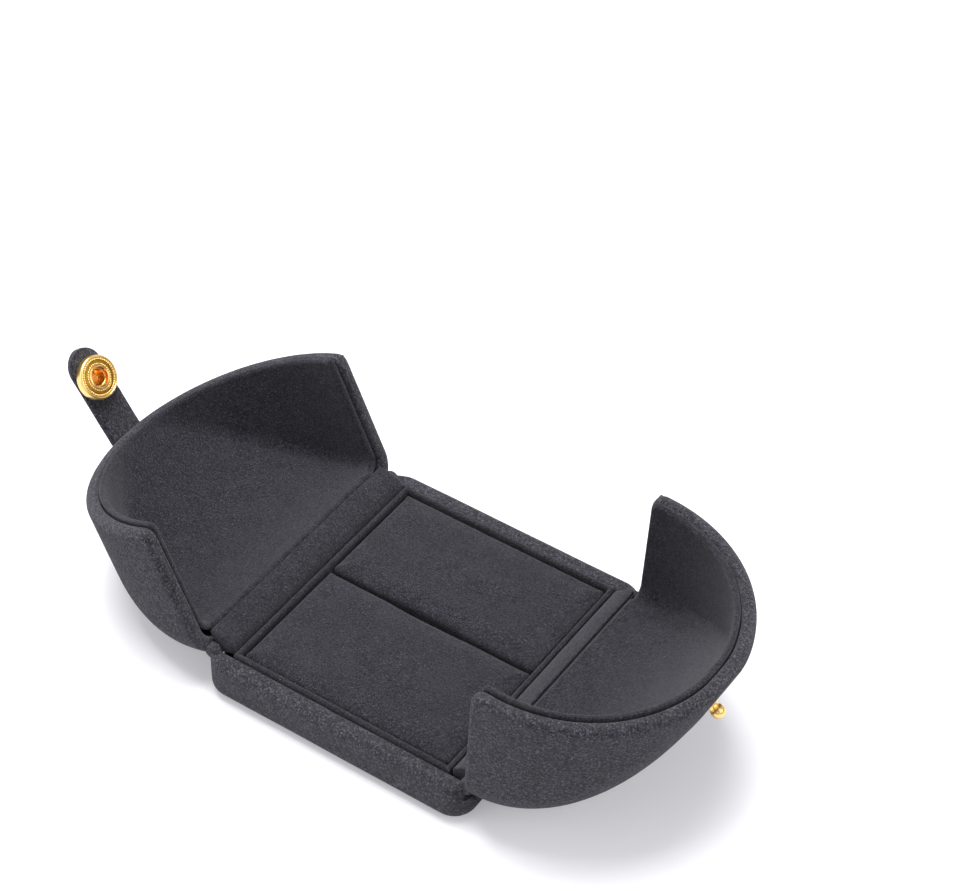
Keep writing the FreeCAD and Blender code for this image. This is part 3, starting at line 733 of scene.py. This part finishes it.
def puff(piece, low, high):
    """Blows a pad's cover up like suede drawn over foam, by cloth simulation.

    The pad is simulated at the size of a seat cushion, for which Blender's cloth is tuned, with
    its underside held, and each point moves a limited way, never through the frame round it.
    """
    grow, frames, held_share, room = 15.0, 20, 0.35, 0.15
    voxel, swell = sizes("pad", "voxel swell")
    copy = voxel_copy(piece, grow, voxel * MM * grow)
    rest = places(copy.data)
    held = copy.vertex_groups.new(name="held")
    foot = (low[2] + held_share * (high[2] - low[2])) * MM * grow
    held.add([int(i) for i in np.flatnonzero(rest[:, 2] < foot)], 1.0, "REPLACE")
    cloth = copy.modifiers.new("Cloth", "CLOTH")
    cloth.settings.vertex_group_mass = "held"
    cloth.settings.quality = 6
    cloth.settings.use_pressure = True
    cloth.settings.uniform_pressure_force = settings("pad").pressure
    cloth.settings.effector_weights.gravity = 0.0
    cloth.collision_settings.use_collision = False
    cloth.point_cache.frame_start, cloth.point_cache.frame_end = 1, frames
    scene = bpy.context.scene
    for step in range(1, frames + 1):
        scene.frame_set(step)
    move = places(copy.evaluated_get(bpy.context.evaluated_depsgraph_get()).data) - rest
    reach = np.linalg.norm(move, axis=1)[:, None]
    most = swell * MM * grow
    moved = (rest + move * np.minimum(1.0, most / np.maximum(reach, 1e-9))) / grow
    copy.modifiers.remove(cloth)
    scene.frame_set(1)
    moved[:, :2] = np.clip(moved[:, :2], (low[:2] - room) * MM, (high[:2] + room) * MM)
    finished = copy.data
    finished.vertices.foreach_set("co", moved.ravel())
    finished.materials.clear()
    finished.materials.append(piece.data.materials[0])
    finished.shade_smooth()
    finished.update()
    swap_mesh(piece, finished)
    bpy.data.objects.remove(copy)


class RINGBOX_OT_ring_pad(bpy.types.Operator):
    """Makes the two crowned halves of the ring pad and the slot between them"""

    bl_idname = "ringbox.ring_pad"
    bl_label = "Ring pad"

    def execute(self, context):
        for name, slot_side in (("front", 1), ("rear", -1)):
            low, high = node_box(name + "_pad_cover")
            top = pad_surface(low, high, slot_side)
            border = edge_loop(*top.shape[:2])
            grid = top.reshape(-1, 3)
            foot = grid[border] * [1.0, 1.0, 0.0] + UP * low[2]
            under = len(grid) + np.arange(len(border))
            faces = grid_faces(*top.shape[:2]).tolist() + band_faces(border, under).tolist() + [list(under)]
            piece = make_piece(name + "_pad", np.concatenate([grid, foot]), faces, "lining_suede", "tray",
                               [name + "_pad_cover", name + "_pad_foam"])
            puff(piece, low, high)
        return {"FINISHED"}


# Strap and snap fastener
def strap_layout():
    """Start of the strap's middle line on the closed door, its slope and the end arch's centre."""
    arch_z, half_y, end_x, end_radius, bottom = sizes("doors", "arch_z half_y end_x end_radius bottom")
    ply, = sizes("strap", "ply")
    top = arch_z + half_y
    centre_x, centre_z = end_centre(end_x, end_radius, top, bottom)
    slope = math.asin(-centre_x / end_radius)
    return np.array([ply * math.sin(slope), 0.0, top + ply * math.cos(slope)]), slope, (centre_x, centre_z)


def snap_reach():
    """Distance along the strap to its fastener, from the middle of the cap's CAD node."""
    start, slope, _ = strap_layout()
    arm = closed_middle("snap_cap", -1) * np.array([-1.0, 1.0, 1.0]) - start
    return -arm[0] * math.cos(slope) + arm[2] * math.sin(slope)


def on_strap(points):
    """From the strap's own frame (x towards the tip, z away from the door) to the open left door."""
    start, slope, _ = strap_layout()
    x = points[..., 0] * math.cos(slope) - points[..., 2] * math.sin(slope)
    z = points[..., 0] * math.sin(slope) + points[..., 2] * math.cos(slope)
    return opened(np.stack([start[0] - x, points[..., 1], start[2] + z], -1), -1)


def along_strap(distance, lift):
    """Strap frame points at a distance from the rim, behind which the line follows the end arch."""
    radius = sizes("doors", "end_radius")[0] + sizes("strap", "ply")[0]
    turn = np.minimum(distance, 0.0) / radius
    x = np.where(distance < 0, (radius + lift) * np.sin(turn), distance)
    z = np.where(distance < 0, (radius + lift) * np.cos(turn) - radius, lift)
    return x, z


class RINGBOX_OT_strap(bpy.types.Operator):
    """Makes the suede strap from its glued end to its round tip"""

    bl_idname = "ringbox.strap"
    bl_label = "Snap strap"

    def execute(self, context):
        full_width, ply, reach, anchor, bend, bore = sizes("strap", "width ply reach anchor bend bore")
        half = full_width / 2
        straight = np.linspace(-anchor, reach - half, 90)
        run = np.append(straight, reach - half + half * np.sin(np.linspace(0, 1.5, 24)[1:]))
        tip = np.clip((run - reach + half) / half, 0.0, 1.0)
        width = half * np.sqrt(1 - tip ** 2)
        a = np.linspace(0.0, 2 * math.pi, 48, endpoint=False)
        across = np.sign(np.cos(a)) * np.abs(np.cos(a)) ** 0.35
        lift = np.sign(np.sin(a)) * np.abs(np.sin(a)) ** 0.55
        seam = np.exp(-(lift / 0.18) ** 2) * (np.abs(across) > 0.97)
        lift = lift * (1 - 0.12 * seam)
        y = width[:, None] * across[None]
        x, z = along_strap(run[:, None] + 0 * y, ply * lift[None] + 0 * y)
        points = np.stack([x, y, z], -1)
        points = points + unevenness(points, 0.05, 2.6)[..., None] * UP
        piece = make_piece("strap_suede", on_strap(points), tube_faces(points), "microfibre_suede", None,
                           ["strap_anchor", "strap_outer_ply", "strap_inner_ply"])
        self.punch(piece, bore / 2, ply)
        soft = 1.3
        start, stop = on_strap(np.array([[bend - soft, 0.0, 0.0], [bend + soft, 0.0, 0.0]])) * MM
        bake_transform(piece)
        return {"FINISHED"}

    def punch(self, piece, radius, ply):
        """Cuts the eyelet's hole from the inside, leaving the suede under the cap."""
        depth = 0.58
        hole = lathe([(0.02, -2 * ply), (radius, -2 * ply), (radius, depth), (0.02, depth)], 64)
        cutter = make_piece("eyelet_hole", on_strap(hole + [snap_reach(), 0.0, 0.0]), tube_faces(hole),
                            "microfibre_suede")
        cut = piece.modifiers.new("Eyelet", "BOOLEAN")
        cut.object, cut.operation, cut.solver = cutter, "DIFFERENCE", "EXACT"
        punched = evaluated_mesh(piece)
        piece.modifiers.remove(cut)
        swap_mesh(piece, punched)
        bpy.data.meshes.remove(cutter.data)


def beaded_ring(radius, height, bead, count):
    """A ring of half-sunk beads: a torus whose thickness follows half circles along its line."""
    a = np.linspace(0.0, 2 * math.pi, count * 8, endpoint=False)[:, None]
    b = np.linspace(0.0, 2 * math.pi, 10, endpoint=False)[None, :]
    phase = (a * count / (2 * math.pi)) % 1.0
    thick = bead * (0.3 + 0.7 * np.sqrt(np.clip(1 - (2 * phase - 1) ** 2, 0, 1)))
    r = radius + thick * np.cos(b)
    return np.stack([r * np.cos(a), r * np.sin(a), height + thick * np.sin(b)], -1)


class RINGBOX_OT_snap(bpy.types.Operator):
    """Makes the gilt cap, the beaded socket with its spring, and the ball stud"""

    bl_idname = "ringbox.snap"
    bl_label = "Snap fastener"

    def execute(self, context):
        ply, diameter, bore, outer, height, ball = sizes("strap", "ply cap bore socket socket_height ball")
        radius, top = diameter / 2, ply + 0.05
        rim = [(radius - 0.25 + 0.25 * math.cos(t), top + 0.25 + 0.25 * math.sin(t))
               for t in np.linspace(-1.5, 1.2, 8)]
        dome = [((radius - 0.3) * math.cos(t), top + 0.42 + 0.46 * math.sin(t))
                for t in np.linspace(0.0, QUARTER, 14)[1:-1]]
        cap = [(0.05, top), (radius - 0.5, top), *rim, *dome, (0.05, top + 0.88)]
        self.add("cap_gilt", lathe(cap), "gilt_brass", ["snap_cap"])
        self.socket(bore / 2, outer / 2, -top, -top - height)
        self.stud(ball / 2)
        return {"FINISHED"}

    def add(self, name, points, finish, stands_for=(), closed=False):
        """Adds one piece of the fastener on the strap."""
        placed = on_strap(points + [snap_reach(), 0.0, 0.0])
        make_piece(name, placed, tube_faces(points, closed), finish, "strap", stands_for)

    def socket(self, bore, outer, face, deep):
        """Socket between its suede face and its deepest level, with the eyelet's cup inside."""
        cup = [(0.05, 0.45), (1.1, 0.45), (1.7, 0.38), (bore - 0.12, 0.15), (bore - 0.04, -0.25),
               (bore - 0.04, deep + 0.1), (bore - 0.01, deep + 0.06), (bore - 0.01, 0.55), (0.05, 0.55)]
        self.add("eyelet_cup", lathe(cup), "gilt_cup")
        lip = ((0.0, 0.05), (0.05, -0.08), (0.18, -0.13), (0.32, -0.08), (0.40, 0.10), (0.50, 0.28), (0.90, 0.30),
               (1.00, 0.22), (1.38, 0.20), (1.46, 0.32), (1.92, 0.32), (2.0, 0.12))
        profile = [(bore, face)] + [(bore + r, deep + z) for r, z in lip]
        profile += [(outer - 0.42 + 0.42 * math.sin(t), deep + 0.50 - 0.48 * math.cos(t))
                    for t in np.linspace(0.0, 1.57, 9)]
        profile += [(outer, face - 0.2), (outer - 0.08, face - 0.05), (outer - 0.25, face)]
        self.add("socket_gilt", lathe(profile, 128), "gilt_brass", ["snap_socket"], closed=True)
        ground = ((0.52, 0.2), (1.42, 0.2), (1.42, 0.1), (1.36, 0.06), (0.96, 0.06), (0.9, 0.12), (0.52, 0.14))
        self.add("socket_face", lathe([(bore + r, deep + z) for r, z in ground], 128), "gilt_matt", closed=True)
        outer_beads = beaded_ring(bore + 1.69, deep + 0.22, 0.26, 46)
        self.add("socket_outer_beads", outer_beads, "gilt_brass", closed=True)
        inner_beads = beaded_ring(bore + 0.70, deep + 0.22, 0.22, 34)
        self.add("socket_inner_beads", inner_beads, "gilt_brass", closed=True)
        spring = beaded_ring(bore - 0.19, deep + 0.8, 0.17, 3)
        self.add("spring_wire", spring, "gilt_brass", ["socket_spring"], closed=True)

    def stud(self, ball):
        """Ball stud, standing square on the end wall of the right door."""
        closed = closed_middle("snap_stud", 1)
        _, _, (centre_x, centre_z) = strap_layout()
        tilt = math.atan2(closed[0] - centre_x, closed[2] - centre_z)
        neck, ball_height, sunk = 1.1, 2.15, 0.4
        profile = [(0.05, 0.0), (2.7, 0.0), (2.8, 0.12), (2.74, 0.32), (2.5, 0.42), (1.6, 0.44), (1.35, 0.54),
                   (1.15, 0.75)]
        for t in np.linspace(math.pi - math.asin(neck / ball), 0.03, 18):
            profile.append((ball * math.sin(t), ball_height + ball * math.cos(t)))
        points = lathe(profile) + UP * (sizes("doors", "end_radius")[0] - sunk)
        placed = turned(points, (0, 1, 0), math.degrees(tilt), 0) + [centre_x, 0.0, centre_z]
        make_piece("stud_gilt", opened(placed, 1), tube_faces(points), "gilt_brass", "right_door", ["snap_stud"])


# CAD nodes that show
class RINGBOX_OT_tray(bpy.types.Operator):
    """Finishes the tray, the band round the pad and the hidden mouldings"""

    bl_idname = "ringbox.tray"
    bl_label = "Tray and mouldings"

    def execute(self, context):
        finishes = {
            "microfibre_suede": ["base_sole"],
            "lining_suede": ["pad_frame"],
            # These mouldings take the near-black ABS, which is painted shade where they show in the gaps.
            "moulded_abs": ["base_shell", "left_door_shell", "right_door_shell", "left_hinge_bar",
                            "right_hinge_bar"],
            "lining_board": ["pad_board", "left_liner_board", "right_liner_board"],
            "drawn_steel": ["left_hinge_pin", "right_hinge_pin"],
            "gilt_brass": ["snap_rivet"],
        }
        for finish, nodes in finishes.items():
            for node in nodes:
                slots = frame["nodes"][node].data.materials
                slots.clear()
                slots.append(finish_named(finish))
        return {"FINISHED"}


# Stage
class RINGBOX_OT_stage(bpy.types.Operator):
    """Sets the pale table, the soft lights and the camera"""

    bl_idname = "ringbox.stage"
    bl_label = "Stage"

    def execute(self, context):
        self.floor()
        self.world()
        self.lights()
        self.camera()
        bpy.context.scene.view_settings.view_transform = "Standard"
        return {"FINISHED"}

    def floor(self):
        """Pale table that shows nearly white and keeps the soft shadows."""
        half, hue = 3.0, settings("colours").floor
        mesh = bpy.data.meshes.new("table")
        mesh.from_pydata([(-half, -half, 0), (half, -half, 0), (half, half, 0), (-half, half, 0)], [], [(0, 1, 2, 3)])
        table = bpy.data.objects.new("table", mesh)
        bpy.context.scene.collection.objects.link(table)
        material, tree, out = new_material("pale_table")
        rays = add_node(tree, "ShaderNodeLightPath")
        seen = add_node(tree, "ShaderNodeMath", {"operation": "MAXIMUM"},
                        i0=rays.outputs["Is Camera Ray"], i1=rays.outputs["Is Glossy Ray"])
        cloth = add_node(tree, "ShaderNodeBsdfDiffuse", Color=hue)
        glow = add_node(tree, "ShaderNodeEmission", Color=hue)
        strength = add_node(tree, "ShaderNodeMath", {"operation": "MULTIPLY"}, i0=seen.outputs[0], i1=0.32)
        tree.links.new(strength.outputs[0], glow.inputs["Strength"])
        both = add_node(tree, "ShaderNodeAddShader", i0=cloth.outputs[0], i1=glow.outputs[0])
        tree.links.new(both.outputs[0], out.inputs[0])
        mesh.materials.append(material)

    def world(self):
        """Even studio light; the camera and mirrors see white."""
        world = bpy.data.worlds.new("studio")
        bpy.context.scene.world = world
        world.use_nodes = True
        tree = world.node_tree
        tree.nodes.clear()
        rays = add_node(tree, "ShaderNodeLightPath")
        seen = add_node(tree, "ShaderNodeMath", {"operation": "MAXIMUM"},
                        i0=rays.outputs["Is Camera Ray"], i1=rays.outputs["Is Transmission Ray"])
        dim = add_node(tree, "ShaderNodeBackground", Color=(0.97, 0.97, 1.0, 1.0), Strength=0.38)
        white = add_node(tree, "ShaderNodeBackground", Color=(1.0, 1.0, 1.0, 1.0), Strength=1.0)
        place = add_node(tree, "ShaderNodeTexCoord").outputs["Generated"]
        height = add_node(tree, "ShaderNodeSeparateXYZ", Vector=place).outputs["Z"]
        level = self.bands(tree, height, ((-1.0, 0.35), (-0.1, 0.5), (0.0, 0.05), (0.22, 0.10), (0.34, 1.4),
                                          (0.55, 1.2), (0.62, 0.2), (0.8, 0.25), (0.88, 1.3), (1.0, 1.3)))
        mirrored = add_node(tree, "ShaderNodeBackground", Color=(1.0, 0.98, 0.95, 1.0), Strength=level)
        glossy = add_node(tree, "ShaderNodeMixShader", i0=rays.outputs["Is Glossy Ray"], i1=dim.outputs[0],
                          i2=mirrored.outputs[0])
        mix = add_node(tree, "ShaderNodeMixShader", i0=seen.outputs[0], i1=glossy.outputs[0], i2=white.outputs[0])
        out = add_node(tree, "ShaderNodeOutputWorld")
        tree.links.new(mix.outputs[0], out.inputs[0])

    def bands(self, tree, height, stops):
        """Brightness by height as a chain of ramps between the stops."""
        total = stops[0][1]
        for (low, before), (high, after) in zip(stops, stops[1:]):
            ramp = add_node(tree, "ShaderNodeMapRange", i0=height, i1=low, i2=high, i3=0.0, i4=after - before)
            added = add_node(tree, "ShaderNodeMath", {"operation": "ADD"}, i0=total, i1=ramp.outputs[0])
            total = added.outputs[0]
        return total

    def lights(self):
        """A large soft box high behind the left, a fill from the front and one from the right."""
        for name, place, size, power in (("key_box", (-0.2, 0.12, 1.1), 0.65, 16.5),
                                         ("fill_box", (-0.55, -0.8, 0.5), 0.9, 3.2),
                                         ("side_box", (0.8, 0.0, 0.6), 0.7, 2.8)):
            lamp = bpy.data.lights.new(name, "AREA")
            lamp.shape, lamp.size, lamp.energy = "SQUARE", size, power
            lamp_object = bpy.data.objects.new(name, lamp)
            bpy.context.scene.collection.objects.link(lamp_object)
            lamp_object.location = place
            lamp_object.rotation_euler = (-Vector(place)).to_track_quat("-Z", "Y").to_euler()

    def camera(self):
        """Long lens from the front right, looking down at the open box."""
        data = bpy.data.cameras.new("camera")
        data.lens, data.sensor_width = 110.13, 36.0
        camera = bpy.data.objects.new("camera", data)
        bpy.context.scene.collection.objects.link(camera)
        pitch, roll = math.radians(43.50), math.radians(0.18)
        ahead = Vector((-0.5676, 0.8233, 0.0)).normalized()
        look = ahead * math.cos(pitch) - Vector((0, 0, 1)) * math.sin(pitch)
        right = look.cross(Vector((0, 0, 1))).normalized()
        top = right.cross(look)
        turn = Matrix((right, top, -look)).transposed() @ Matrix.Rotation(roll, 3, "Z")
        camera.matrix_world = Matrix.Translation(Vector((232.4, -318.8, 432.0)) * MM) @ turn.to_4x4()
        bpy.context.scene.camera = camera


class RINGBOX_PT_panel(bpy.types.Panel):
    """Lists the pieces of the ring box"""

    bl_label = "Ring box"
    bl_idname = "RINGBOX_PT_panel"
    bl_space_type = "VIEW_3D"
    bl_region_type = "UI"
    bl_category = "Ring box"

    def draw(self, context):
        for operator in PIECES:
            self.layout.operator(operator.bl_idname)


PIECES = (RINGBOX_OT_tray, RINGBOX_OT_tray_cover, RINGBOX_OT_door_covers, RINGBOX_OT_liners, RINGBOX_OT_hinge_bars,
          RINGBOX_OT_ring_pad, RINGBOX_OT_strap, RINGBOX_OT_snap, RINGBOX_OT_stage)
GROUPS = {"ring_box_tray": RingBoxTraySettings,
          "ring_box_doors": RingBoxDoorSettings, "ring_box_pad": RingBoxPadSettings,
          "ring_box_strap": RingBoxStrapSettings, "ring_box_colours": RingBoxColourSettings}


def register():
    for group in GROUPS.values():
        bpy.utils.register_class(group)
    for name, group in GROUPS.items():
        setattr(bpy.types.Scene, name, bpy.props.PointerProperty(type=group))
    for piece in (*PIECES, RINGBOX_PT_panel):
        bpy.utils.register_class(piece)


def unregister():
    for piece in reversed((*PIECES, RINGBOX_PT_panel)):
        bpy.utils.unregister_class(piece)
    for name, group in GROUPS.items():
        delattr(bpy.types.Scene, name)
        bpy.utils.unregister_class(group)


def main():
    register()
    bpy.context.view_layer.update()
    for piece in PIECES:
        family, call = piece.bl_idname.split(".")
        getattr(getattr(bpy.ops, family), call)()
    bpy.context.view_layer.update()


if __name__ == "__main__":
    main()
